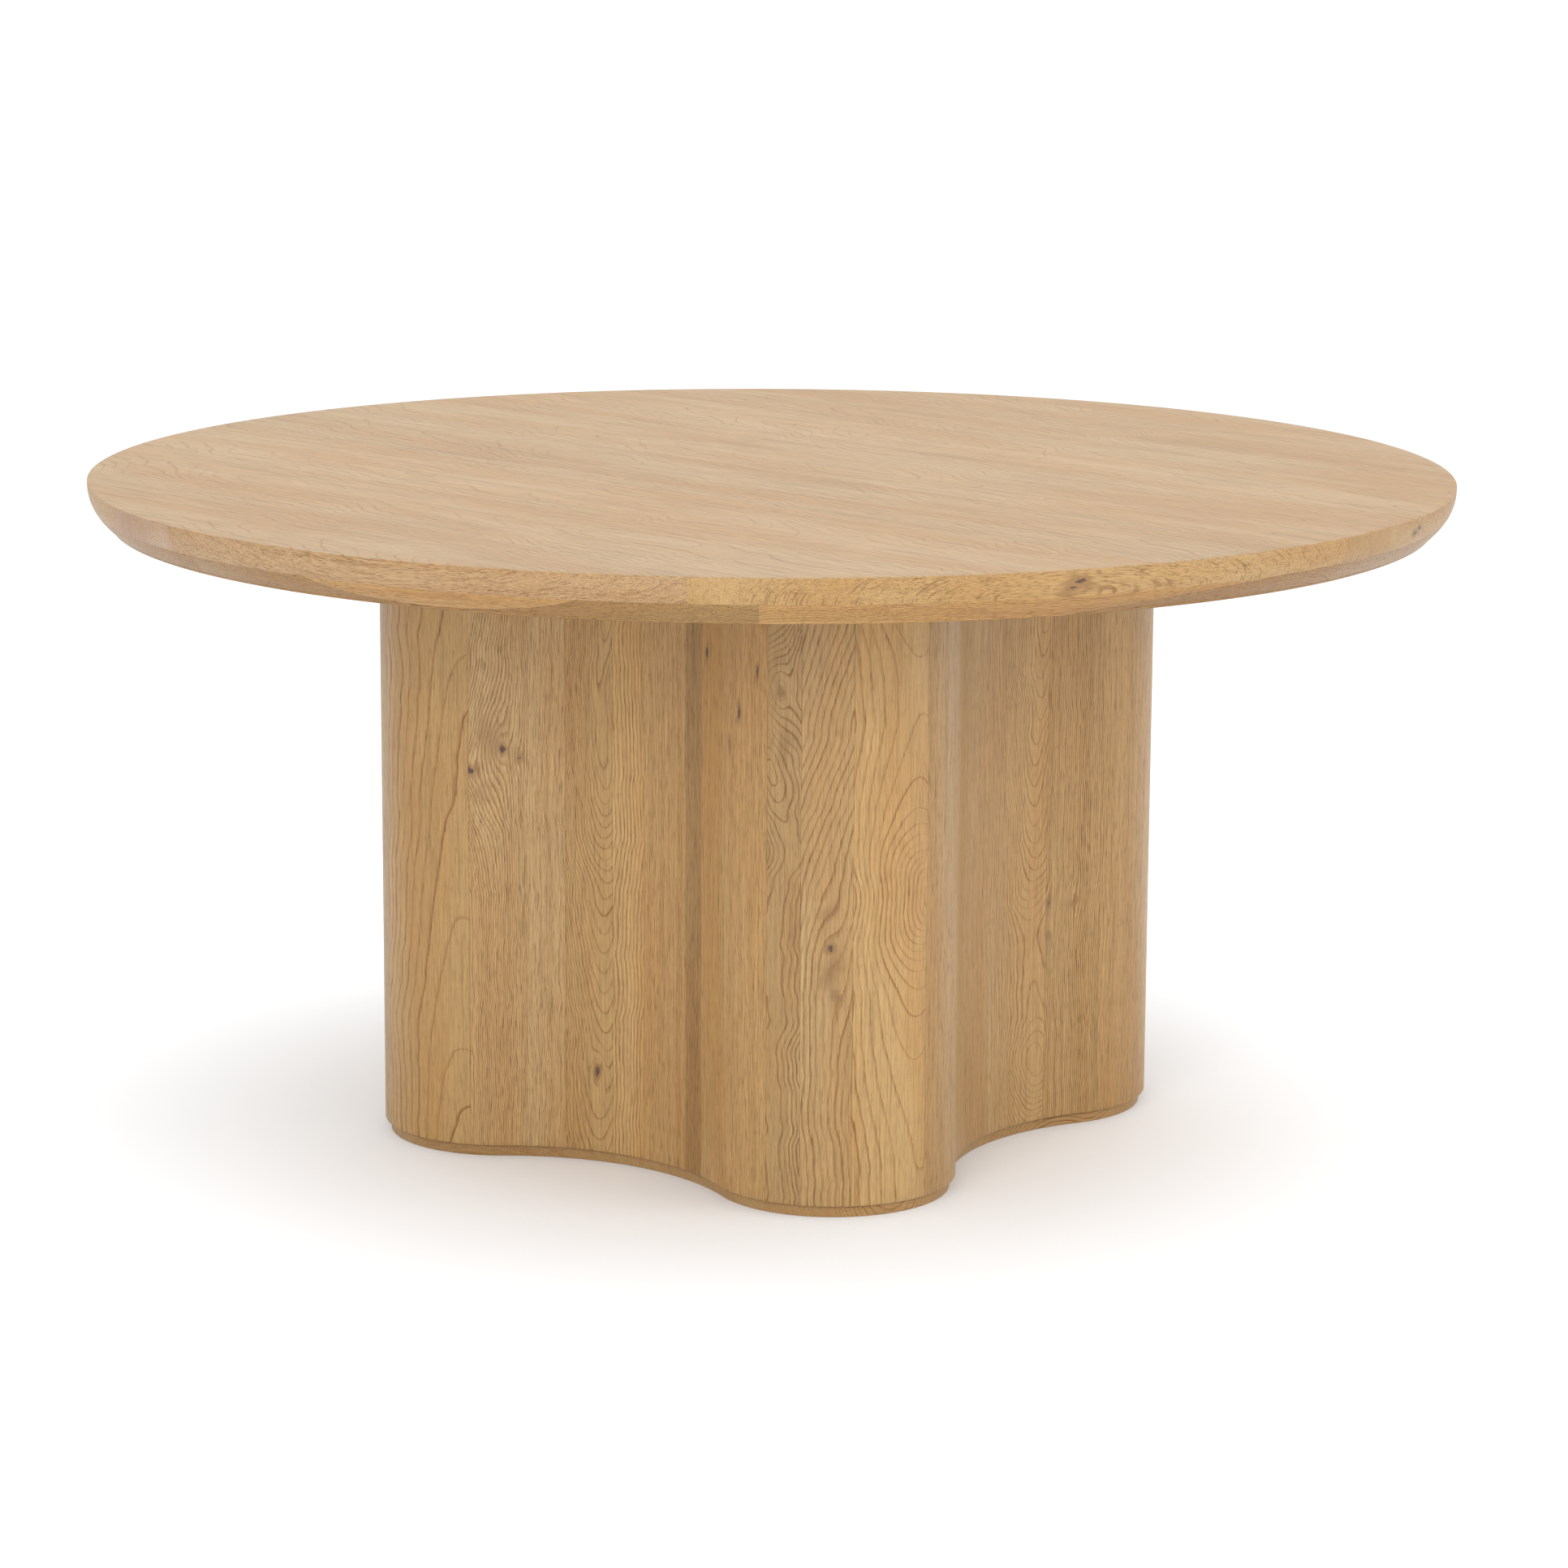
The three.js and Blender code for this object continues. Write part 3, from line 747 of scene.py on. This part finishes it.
STAVE_BOARDS = [
    board(101, honey(0.60, 0.6), 4.4, (90, 78), taper=0.034, wave=1.1),
    board(102, honey(1.02, -0.7), 2.0, (-46, 44), swells=[(445, 10, 60, 0), (80, -5, 60, 4)],
          knots=[(38, 450, 6, 1.5), (3, 425, 6, 1.5), (57, 440, 5, 1.2), (26, 458, 26, 0.55),
                 (12, 400, 16, 0.42)], figure=0.9),
    board(103, honey(0.60, 0.5), 2.1, (47, 46), taper=-0.09, swells=[(420, -9, 90, 3)],
          knots=[(37, 92, 6, 1.4)], wave=1.3, figure=0.85),
    board(104, honey(0.92, 0.3), 4.4, (-60, 40), 0.03, wave=1.1),
    board(105, honey(0.94, 0.1), 1.8, (-180, 60), wave=0.3, figure=0.95),
    board(106, honey(0.26, 0.4), 2.2, (160, 50), wave=0.5, figure=0.8),
    board(107, honey(0.84, 0.5), 2.3, (240, 60), knots=[(12, 581, 3.8, 1.6), (80, 527, 3.4, 1.6),
                                                        (64, 492, 3.6, 1.15), (106, 575, 2.6, 1.5)],
          wave=0.5, figure=0.8),
    board(108, honey(0.50, -0.4), 3.4, (13, 22),
          swells=[(560, 14, 40, 4), (470, -12, 40, -4), (630, -10, 35, 3)],
          knots=[(16, 555, 5, 1.2), (20, 500, 14, 0.5), (12, 590, 10, 0.4)], wave=2.6, figure=1.15),
    board(109, honey(0.72, -0.5), 7.0, (-130, 50), 0.20, 0.37,
          knots=[(33, 283, 6, 1.5), (38, 232, 6, 1.15), (34, 258, 18, 0.65), (28, 320, 9, 0.6)],
          wave=1.2),
    board(110, honey(0.90, 0.1), 4.8, (64, 66),
          swells=[(331, -36, 55, 22), (331, -20, 170, 0), (790, -50, 130, 0)], wave=0.7, figure=0.9),
    board(111, honey(0.80, -0.3), 2.6, (-120, 60), wave=0.5, figure=0.8),
    board(112, honey(0.82, -0.1), 3.0, (150, 50), 0.01, wave=0.7, figure=0.9),
    board(113, honey(0.80, -0.1), 2.9, (-60, 45), -0.01, taper=0.02, wave=0.8, figure=0.95),
    board(114, honey(0.72, 0.3), 2.8, (57, 50), taper=-0.12, swells=[(60, -22, 60, 0), (230, 10, 50, 0)],
          wave=2.0, figure=0.9),
    board(115, honey(0.72, 0.1), 2.6, (-110, 40),
          knots=[(4, 252, 6, 1.1), (40, 250, 5, 1.05), (5, 214, 5, 1.0)], wave=0.8),
    board(116, honey(0.70, 0.3), 2.2, (180, 60), knots=[(60, 600, 3, 1.4)], wave=0.5, figure=0.8),
    board(117, honey(0.72, 0.0), 3.6, (40, 40), 0.02, taper=0.09, figure=0.8),
    board(118, honey(0.50, 0.3), 4.8, (70, 34), -0.02, taper=-0.08, knots=[(88, 300, 8, 1.2)], wave=1.3),
    board(119, honey(0.78, 0.1), 2.4, (-140, 50), wave=0.5, figure=0.55),
    board(120, honey(0.60, -0.4), 3.8, (62, 55), swells=[(300, -34, 110, 8)], wave=1.2, figure=0.9),
    board(121, honey(0.84, 0.0), 5.2, (88, 46), 0.03, taper=0.07, wave=1.1, figure=0.9),
    board(122, honey(0.36, 0.4), 2.2, (30, 60), taper=-0.15, knots=[(24, 500, 5, 1.0)], wave=0.8,
          figure=0.8),
    board(123, honey(0.70, 0.2), 3.0, (170, 50), wave=0.6, figure=0.6),
    board(124, honey(0.62, -0.2), 4.2, (52, 60), swells=[(420, -40, 130, -10)],
          knots=[(20, 180, 6, 1.1)], wave=1.3, figure=0.9),
    board(125, honey(0.76, 0.3), 3.4, (-70, 50), 0.02, taper=0.03, wave=0.8, figure=0.7),
    board(126, honey(0.44, 0.0), 2.0, (150, 60), wave=0.4, figure=0.6),
    board(127, honey(0.68, 0.1), 5.6, (66, 60), -0.02, taper=0.10, wave=1.2, figure=0.95),
    board(128, honey(0.80, -0.2), 2.8, (-60, 60), wave=0.6, figure=0.6),
    board(129, honey(0.62, -0.6), 2.6, (190, 60), wave=0.5, figure=0.5),
]
stave_oak = oak_finish("stave_oak")
stave_low, stave_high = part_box("stave_01")
stave_height = stave_high.z - stave_low.z
stave_joints = FIRST_JOINT + np.cumsum([0, *STAVE_WIDTHS]) / 1000
stave_joints = np.append(stave_joints, FIRST_JOINT + outline_length)


def stave(number, start, end, sawn):
    """One stave: its plan section carried up.

    The section is the outline from joint to joint, eased at both arrises, and back along the
    inside. Rows near the foot are drawn in by its own easing. A place across the board is
    measured along the chord between its joints, and stretched to the width of the face, and
    the bend is the climb from that chord over the way forward along it.
    """
    start, end = start + JOINT_GAP / 2, end - JOINT_GAP / 2
    stations, drops = eased_run(end - start, STAVE_STEP, STAVE_EASE)
    inner = np.linspace(end - start, 0, 9)
    levels, level_drops = eased_run(stave_height, STAVE_ROW, FOOT_EASE)
    level_drops[len(levels) // 2:] = 0
    run = start + np.concatenate([stations, inner])
    inset = np.concatenate([drops, np.full(len(inner), STAVE_THICKNESS)])
    is_face = np.concatenate([np.ones(len(stations)), np.zeros(len(inner))])
    draw_in = inset + level_drops[:, None] * is_face
    x, y = outline(np.broadcast_to(run, draw_in.shape), draw_in)
    z = np.broadcast_to(stave_low.z + levels[:, None], draw_in.shape)
    piece = carried(f"oak_stave_{number:02d}", np.stack([x, y, z], axis=-1))
    corner = np.array(outline([start, end], 0))
    chord = corner[:, 1] - corner[:, 0]
    width = np.linalg.norm(chord)
    chord /= width
    from_x, from_y = x - corner[0, 0], y - corner[1, 0]
    across = from_x * chord[0] + from_y * chord[1]
    rise = from_x * chord[1] - from_y * chord[0]
    across *= (end - start) / width
    ahead = np.array(outline(run + SLOPE_STEP, 0)) - outline(run - SLOPE_STEP, 0)
    forward = ahead[0] * chord[0] + ahead[1] * chord[1]
    climb = ahead[0] * chord[1] - ahead[1] * chord[0]
    bend = np.broadcast_to(climb / forward, x.shape)
    grow(piece, across, levels[:, None] + 0 * x, rise, sawn, bend)
    piece.data.materials.append(stave_oak)
    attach(piece, "table")
    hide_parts(f"stave_{number:02d}")


stave_ends = zip(stave_joints, stave_joints[1:], STAVE_BOARDS)
for stave_number, (joint_a, joint_b, sawn) in enumerate(stave_ends, 1):
    stave(stave_number, joint_a, joint_b, sawn)

# ---- edge of the top -------------------------------------
# Two layers of solid oak segments glued around the panel and moulded together to one
# under-curved edge. The upper layer has a short block between each two long segments.
TOP_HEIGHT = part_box("face_veneer")[1].z
TOP_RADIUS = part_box("face_veneer")[1].x
TOP_THICKNESS = TOP_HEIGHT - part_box("edge_lower_segment_1")[0].z
UNDERCUT = 0.028
UNDERCUT_POWER = 2.4
EDGE_STEP = 0.0035
UPPER_INNER_RADIUS = 0.7026
LOWER_INNER_RADIUS = 0.672
LOWER_FOOT_EASE = 0.0025


def edge_radius(height):
    """Radius of the moulded edge: it falls away as a power of the depth below the top."""
    depth = (TOP_HEIGHT - height) / TOP_THICKNESS
    return TOP_RADIUS - UNDERCUT * np.abs(depth) ** UNDERCUT_POWER


def edge_section(bottom, top, inner_radius, foot_ease):
    """Section of one layer: down the moulded wall, round the foot, in and up to the top.

    The foot is a quarter circle between the wall and the underside where the layer is the
    lower one, and a plain corner where it is the upper one.
    """
    heights = np.linspace(top, bottom + foot_ease, 15)
    radii = edge_radius(heights)
    underside = np.array([inner_radius])
    if foot_ease > 0:
        turn = np.linspace(0, math.pi / 2, 7)[1:]
        heights = np.append(heights, bottom + foot_ease * (1 - np.sin(turn)))
        radii = np.append(radii, radii[-1] - foot_ease * (1 - np.cos(turn)))
        underside = np.linspace(radii[-1], inner_radius, 12)[1:]
    radii = np.concatenate([radii, underside, [inner_radius]])
    heights = np.concatenate([heights, np.full(len(underside), bottom), [top]])
    return radii, heights


def edge_piece(name, cad_node, section, start, end, sawn, grain):
    """One edge segment: the section carried around between two angles, in degrees.

    A long segment's grain runs along its middle chord; a block's grain runs out from the
    centre, so that it shows end grain.
    """
    radii, heights = section
    gap = JOINT_GAP / TOP_RADIUS
    steps = max(8, int((end - start) * TOP_RADIUS * math.pi / 180 / EDGE_STEP))
    angle = np.linspace(math.radians(start) + gap / 2, math.radians(end) - gap / 2, steps)
    grid = around((0, 0), radii, angle[:, None], heights)
    x, y, z = np.moveaxis(grid, -1, 0)
    piece = carried(name, grid)
    middle = math.radians((start + end) / 2)
    outward = x * math.cos(middle) + y * math.sin(middle) - TOP_RADIUS
    sideways = y * math.cos(middle) - x * math.sin(middle)
    level = z - heights.min()
    if grain == "chord":
        depth = (TOP_HEIGHT - z) / TOP_THICKNESS
        bend = UNDERCUT * UNDERCUT_POWER * np.abs(depth) ** (UNDERCUT_POWER - 1) / TOP_THICKNESS
        grow(piece, level, sideways, outward, sawn, bend, np.abs(sideways) / TOP_RADIUS)
    else:
        grow(piece, sideways, outward, level, sawn)
    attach(piece, "table")
    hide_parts(cad_node)
    return piece


upper_low, upper_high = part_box("edge_upper_segment_1")
lower_low, lower_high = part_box("edge_lower_segment_1")
upper_section = edge_section(upper_low.z, upper_high.z, UPPER_INNER_RADIUS, 0)
lower_section = edge_section(lower_low.z, lower_high.z, LOWER_INNER_RADIUS, LOWER_FOOT_EASE)
edge_oak = oak_finish("edge_oak", rays=0.8, checks=0.55)
block_oak = oak_finish("edge_end_grain", rays=0.3, checks=0.5)
lower_oak = oak_finish("edge_oak_lower", checks=0.2)

# Each long segment follows one short block; angles in degrees, counter-clockwise.
UPPER_RING_START = 190.4
UPPER_RING = [
    (11.9, board(201, (0.36, 0.236, 0.144), 2.4, (60, 60), wave=0.6, figure=1.3),
     48.8, board(202, (0.365, 0.232, 0.112), 2.2, (-190, 40), wave=1.2, figure=0.6, tilt=62)),
    (3.9, board(203, honey(0.82, 0.2), 2.6, (10, 40), wave=0.4, figure=0.4),
     53.1, board(204, honey(0.80, 0.1), 1.9, (170, 60),
                 knots=[(14, -11, 11, 0.95), (8, -20, 8, 0.9), (17, -8, 4, 1.5), (10, -17, 3, 1.4)],
                 wave=0.7, figure=0.34, tilt=-62)),
    (9.9, board(205, honey(0.56, 0.1), 2.4, (30, 40), wave=0.4, figure=0.5),
     51.6, board(206, honey(0.66, 0.3), 2.2, (-180, 40),
                 knots=[(16, -292, 5, 1.4), (12, -302, 4.5, 1.3)], wave=1.2, figure=0.5, tilt=70)),
    (8.4, board(207, honey(0.66, 0.1), 2.0, (40, 50), wave=0.5, figure=0.7),
     50.3, board(208, honey(0.78, 0.3), 2.6, (-150, 50), wave=0.8, figure=0.6, tilt=-55)),
    (6.2, board(209, honey(0.82, 0.0), 2.2, (20, 60), wave=0.5, figure=0.6),
     49.8, board(210, honey(0.68, 0.2), 2.4, (200, 40), wave=0.8, figure=0.6, tilt=60)),
    (10.6, board(211, honey(0.58, 0.4), 2.2, (50, 60), wave=0.5, figure=0.8),
     55.5, board(212, honey(0.72, 0.5), 2.6, (-160, 60), wave=0.8, figure=0.6, tilt=-65)),
]
ring_angle = UPPER_RING_START
for number, (block_span, block_board, long_span, long_board) in enumerate(UPPER_RING, 1):
    block_end = ring_angle + block_span
    long_end = block_end + long_span
    block = edge_piece(f"oak_edge_block_{number}", f"edge_upper_block_{number}", upper_section,
                       ring_angle, block_end, block_board, "radial")
    block.data.materials.append(block_oak)
    segment = edge_piece(f"oak_edge_segment_{number}", f"edge_upper_segment_{number}", upper_section,
                         block_end, long_end, long_board, "chord")
    segment.data.materials.append(edge_oak)
    ring_angle = long_end

LOWER_RING_START = 256.4
LOWER_BOARDS = [
    board(301, honey(0.14, 0.5), 2.6, (-120, 50), wave=1.2, figure=0.7, tilt=60,
          glue=(38.5, 0.614, -6.557, 1)),
    board(302, honey(0.20, 0.4), 2.4, (140, 50), figure=0.7, tilt=-60),
    board(303, honey(0.26, 0.3), 2.6, (-130, 60), figure=0.7, tilt=60, glue=(-21, 0, 0, -1)),
    board(304, honey(0.14, 0.5), 2.4, (150, 50), figure=0.7, tilt=-60),
    board(305, honey(0.22, 0.3), 2.4, (-140, 50), figure=0.7, tilt=60, glue=(-19, 0.05, 0, -1)),
    board(306, honey(0.26, 0.4), 2.6, (160, 50), figure=0.7, tilt=-60),
    board(307, honey(0.18, 0.5), 2.4, (-120, 50), wave=1.2, figure=0.7, tilt=60, glue=(-23.5, 0, 0, -1)),
]
lower_span = 360 / len(LOWER_BOARDS)
for number, lower_board in enumerate(LOWER_BOARDS, 1):
    start = LOWER_RING_START + (number - 1) * lower_span
    lower = edge_piece(f"oak_lower_edge_{number}", f"edge_lower_segment_{number}", lower_section,
                       start, start + lower_span, lower_board, "chord")
    lower.data.materials.append(lower_oak)

# ---- core panel and veneers ------------------------------
# The panel inside the edge is particle board. Crown-cut oak veneer, laid in leaves side by side,
# covers it and the edge ring on top, and a plainer sheet balances it underneath.


def particle_finish():
    """Raw particle board: pressed chips as a cell pattern in several browns."""
    material, tree, shader = start_finish("particle_board")
    place = node(tree, "TexCoord").outputs["Object"]
    chips = node(tree, "TexVoronoi", {"Vector": place, "Scale": 420.0}).outputs
    lightness = node(tree, "SeparateColor", {0: chips["Color"]}).outputs[0]
    colour = blend_colours(tree, lightness, (0.24, 0.17, 0.10, 1), (0.46, 0.35, 0.22, 1))
    dress(tree, shader, colour, line(tree, lightness, 0.15, 0.75), chips["Distance"], 0.0002)
    return material


refinish("core_panel", particle_finish())


LEAF_END = 0.012
LEAF_ROW_STRETCH = 2.2


def veneer_leaf(name, radius, low, high, near, far, turn, sawn, step, ease):
    """One leaf of a round veneered face: the strip of a disc between two sideways places.

    At each sideways place the leaf runs to the rim on both sides, which is the square root of
    the radius squared less the place squared. The outermost leaves stop where half of their
    length is down to the leaf end. The strip is then turned to the grain's angle.
    """
    limit = radius * math.cos(math.asin(min(LEAF_END / radius, 1)))
    near, far = max(near, -limit) + JOINT_GAP / 2, min(far, limit) - JOINT_GAP / 2
    columns = max(8, int((far - near) / step))
    sideways = radius * np.sin(np.linspace(math.asin(near / radius), math.asin(far / radius), columns))
    reach = np.sqrt(radius**2 - sideways**2)
    rows = max(12, int(2 * reach.max() / (LEAF_ROW_STRETCH * step)))
    quarter = np.linspace(0, math.pi / 2, 4)[:-1, None]
    rim = -reach + ease * (1 - np.cos(quarter))
    rim_drop = -ease * (1 - np.sin(quarter))
    along = np.concatenate([rim, np.linspace(-1, 1, rows)[:, None] * (reach - ease), -rim[::-1]])
    drop = np.concatenate([rim_drop, np.zeros((rows, 1)), rim_drop[::-1]])
    top_u = np.broadcast_to(sideways, along.shape)
    top_z = np.broadcast_to(high + drop, along.shape)
    u = np.concatenate([top_u, top_u[:, ::-1]], axis=1)
    v = np.concatenate([along, np.clip(along, -reach, reach)[:, ::-1]], axis=1)
    z = np.concatenate([top_z, np.full_like(top_z, low)], axis=1)
    x = u * math.cos(turn) - v * math.sin(turn)
    y = u * math.sin(turn) + v * math.cos(turn)
    piece = carried(name, np.stack([x, y, z], axis=-1), end_caps="ladder")
    grow(piece, u - near, v + radius, z - high, sawn)
    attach(piece, "table")
    return piece


# The grain runs across the top from the back on the left to the front on the right.
GRAIN_ANGLE = math.radians(32)
LEAF_WIDTH = 0.1905
FACE_LEAVES = 8
FACE_THICKNESS = 0.001
FACE_STEP = 0.004
FACE_EASE = 0.0004
FACE_TONE = np.array([0.354, 0.231, 0.110])
face_oak = oak_finish("top_veneer", pores=0.6, rays=0.1, streaks=0.95, relief=0.00005, shine=0.2)
for leaf in range(FACE_LEAVES):
    leaf_near = -TOP_RADIUS + leaf * LEAF_WIDTH
    turned_over = leaf % 2
    leaf_tone = tuple(FACE_TONE * (1 + 0.02 * (leaf % 3 - 1)))
    leaf_swells = [(460 + 60 * leaf, -46 + 22 * turned_over, 130, 6),
                   (1150 - 50 * leaf, -14 - 20 * turned_over, 150, -8)]
    leaf_board = board(401 + leaf, leaf_tone, 8.0, (70 + 50 * turned_over, 90), 0.03, taper=0.05,
                       swells=leaf_swells, wave=3.0, figure=0.52)
    piece = veneer_leaf(f"face_leaf_{leaf + 1}", TOP_RADIUS, TOP_HEIGHT - FACE_THICKNESS, TOP_HEIGHT,
                        leaf_near, leaf_near + LEAF_WIDTH, GRAIN_ANGLE, leaf_board, FACE_STEP, FACE_EASE)
    piece.data.materials.append(face_oak)
    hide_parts("face_veneer")

BACK_LEAVES = 6
BACK_STEP = 0.010
BACK_EASE = 0.0002
back_low, back_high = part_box("backing_veneer")
back_width = 2 * back_high.x / BACK_LEAVES
back_oak = oak_finish("backing_veneer", pores=0.8, rays=0.2, gloss=0.6)
for leaf in range(BACK_LEAVES):
    leaf_near = back_low.x + leaf * back_width
    leaf_tone = honey(0.66 + 0.08 * (leaf % 2), -0.2)
    leaf_board = board(451 + leaf, leaf_tone, 3.0, (110, 40), wave=2.0, figure=0.6)
    piece = veneer_leaf(f"backing_leaf_{leaf + 1}", back_high.x, back_low.z, back_high.z, leaf_near,
                        leaf_near + back_width, GRAIN_ANGLE, leaf_board, BACK_STEP, BACK_EASE)
    piece.data.materials.append(back_oak)
    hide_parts("backing_veneer")
